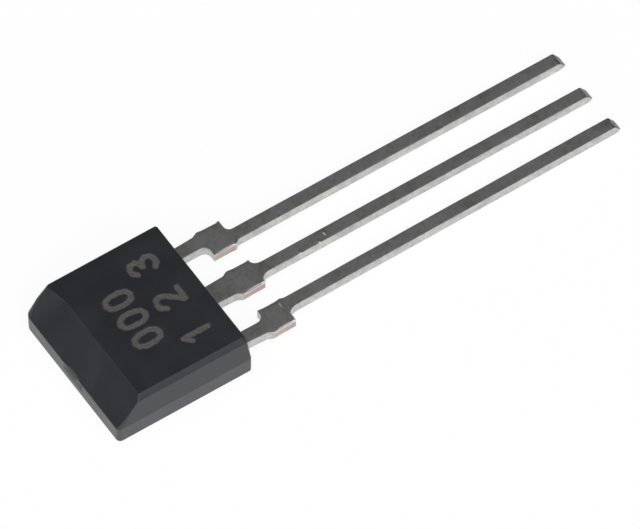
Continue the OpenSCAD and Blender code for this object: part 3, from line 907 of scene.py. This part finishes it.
white, tree, mm = new_material("white_table")
path = add(tree, "ShaderNodeLightPath")
seen = add(tree, "ShaderNodeMath", {"operation": "MAXIMUM"},
           {0: path.outputs["Is Camera Ray"], 1: path.outputs["Is Glossy Ray"]})
seen = add(tree, "ShaderNodeMath", {"operation": "MAXIMUM"},
           {0: seen.outputs[0], 1: path.outputs["Is Transmission Ray"]})
share = add(tree, "ShaderNodeMath", {"operation": "MULTIPLY"},
            {0: seen.outputs[0], 1: GLOW_SHARE})
matte = add(tree, "ShaderNodeBsdfDiffuse", inputs={"Color": linear("#f0f0f0")})
glow = add(tree, "ShaderNodeEmission", inputs={"Color": linear("#ffffff"), "Strength": GLOW})
both = add(tree, "ShaderNodeMixShader", inputs={0: share.outputs[0], 1: matte.outputs[0],
                                                2: glow.outputs[0]})
add(tree, "ShaderNodeOutputMaterial", inputs={"Surface": both.outputs[0]})
table.data.materials.append(white)
print("table tilted by", round(float(np.degrees(tilt)), 3), "degrees")

# %% [markdown]
# ## Light
#
# The sensor lies in a white tent with a dark opening overhead. The walls of the case mirror the
# white table, while its top and the flat of the leads mirror the opening and stay dark. A low
# flag of black felt stands beyond the far end. The slope mirrors it instead of the bright foot of
# the tent. In a studio such a flag stands just outside the picture. Here it is hidden from the
# camera, so that it stays out of every view. Felt takes nearly all the light that falls on it.

# %% Flag
FLAG_HALF_W, FLAG_H = 90, 20  # mm
flag = add_mesh("flag", [(-FLAG_HALF_W * MM, 0, 0), (FLAG_HALF_W * MM, 0, 0),
                         (FLAG_HALF_W * MM, 0, FLAG_H * MM), (-FLAG_HALF_W * MM, 0, FLAG_H * MM)],
                [(0, 1, 2, 3)])
flag.location = (40 * MM, 70 * MM, -1 * MM)
flag.rotation_euler = (0, 0, np.radians(-29))
flag.visible_camera = False
felt, tree, mm = new_material("black_felt")
fibres = add(tree, "ShaderNodeTexNoise", inputs={"Vector": mm, "Scale": 1.5})
pile = add(tree, "ShaderNodeMix", {"data_type": "RGBA"},
           {0: fibres.outputs["Fac"], 6: linear("#161616"), 7: linear("#202020")})
surface = add(tree, "ShaderNodeBsdfDiffuse", inputs={"Color": pile.outputs[2]})
add(tree, "ShaderNodeOutputMaterial", inputs={"Surface": surface.outputs[0]})
flag.data.materials.append(felt)
print("flag:", 2 * FLAG_HALF_W, "by", FLAG_H, "mm")

# %% [markdown]
# The tent is the world itself. Its brightness falls from the foot to the opening with the height
# of the direction, and the camera sees plain white in its place. One soft lamp a metre wide hangs
# just in front of the camera, which looks through its unlit back. It is so large and so close that
# no glossy flat mirrors a hard spot, and it lights the colours at their plain level.

# %% World and lamp
TENT_FOOT, TENT_TOP = 0.82, 0.042       # strengths
FOOT_RISE, TOP_RISE = -0.05, 0.3        # heights of the direction between which it changes

world = bpy.data.worlds.new("tent")
bpy.context.scene.world = world
world.use_nodes = True
tree = world.node_tree
tree.nodes.clear()
direction = add(tree, "ShaderNodeTexCoord").outputs["Generated"]
rise = add(tree, "ShaderNodeSeparateXYZ", inputs={0: direction}).outputs["Z"]
tent = add(tree, "ShaderNodeMapRange", {"interpolation_type": "SMOOTHSTEP"},
           {0: rise, 1: FOOT_RISE, 2: TOP_RISE, 3: TENT_FOOT, 4: TENT_TOP})
path = add(tree, "ShaderNodeLightPath")
tent_light = add(tree, "ShaderNodeBackground", inputs={"Color": linear("#ffffff"),
                                                       "Strength": tent.outputs[0]})
backdrop = add(tree, "ShaderNodeBackground", inputs={"Color": linear("#ffffff"), "Strength": 1.0})
both = add(tree, "ShaderNodeMixShader", inputs={0: path.outputs["Is Camera Ray"],
                                                1: tent_light.outputs[0], 2: backdrop.outputs[0]})
add(tree, "ShaderNodeOutputWorld", inputs={"Surface": both.outputs[0]})

LAMP_SIZE, LAMP_DISTANCE, LAMP_WATTS = 1000, 450, 4.2    # mm, mm, W
lamp_aim = Vector((0, -5, 0)) * MM
lamp_way = Vector((-0.55, 0.45, 0.9)).normalized()
key = bpy.data.objects.new("key", bpy.data.lights.new("key", "AREA"))
key.data.size = LAMP_SIZE * MM
key.data.energy = LAMP_WATTS
key.matrix_world = (Matrix.Translation(lamp_aim + lamp_way * LAMP_DISTANCE * MM)
                    @ lamp_way.to_track_quat("Z", "Y").to_matrix().to_4x4())
bpy.context.scene.collection.objects.link(key)
bpy.context.scene.view_settings.view_transform = "Standard"
print("lamp", LAMP_SIZE, "mm wide,", LAMP_DISTANCE, "mm away")
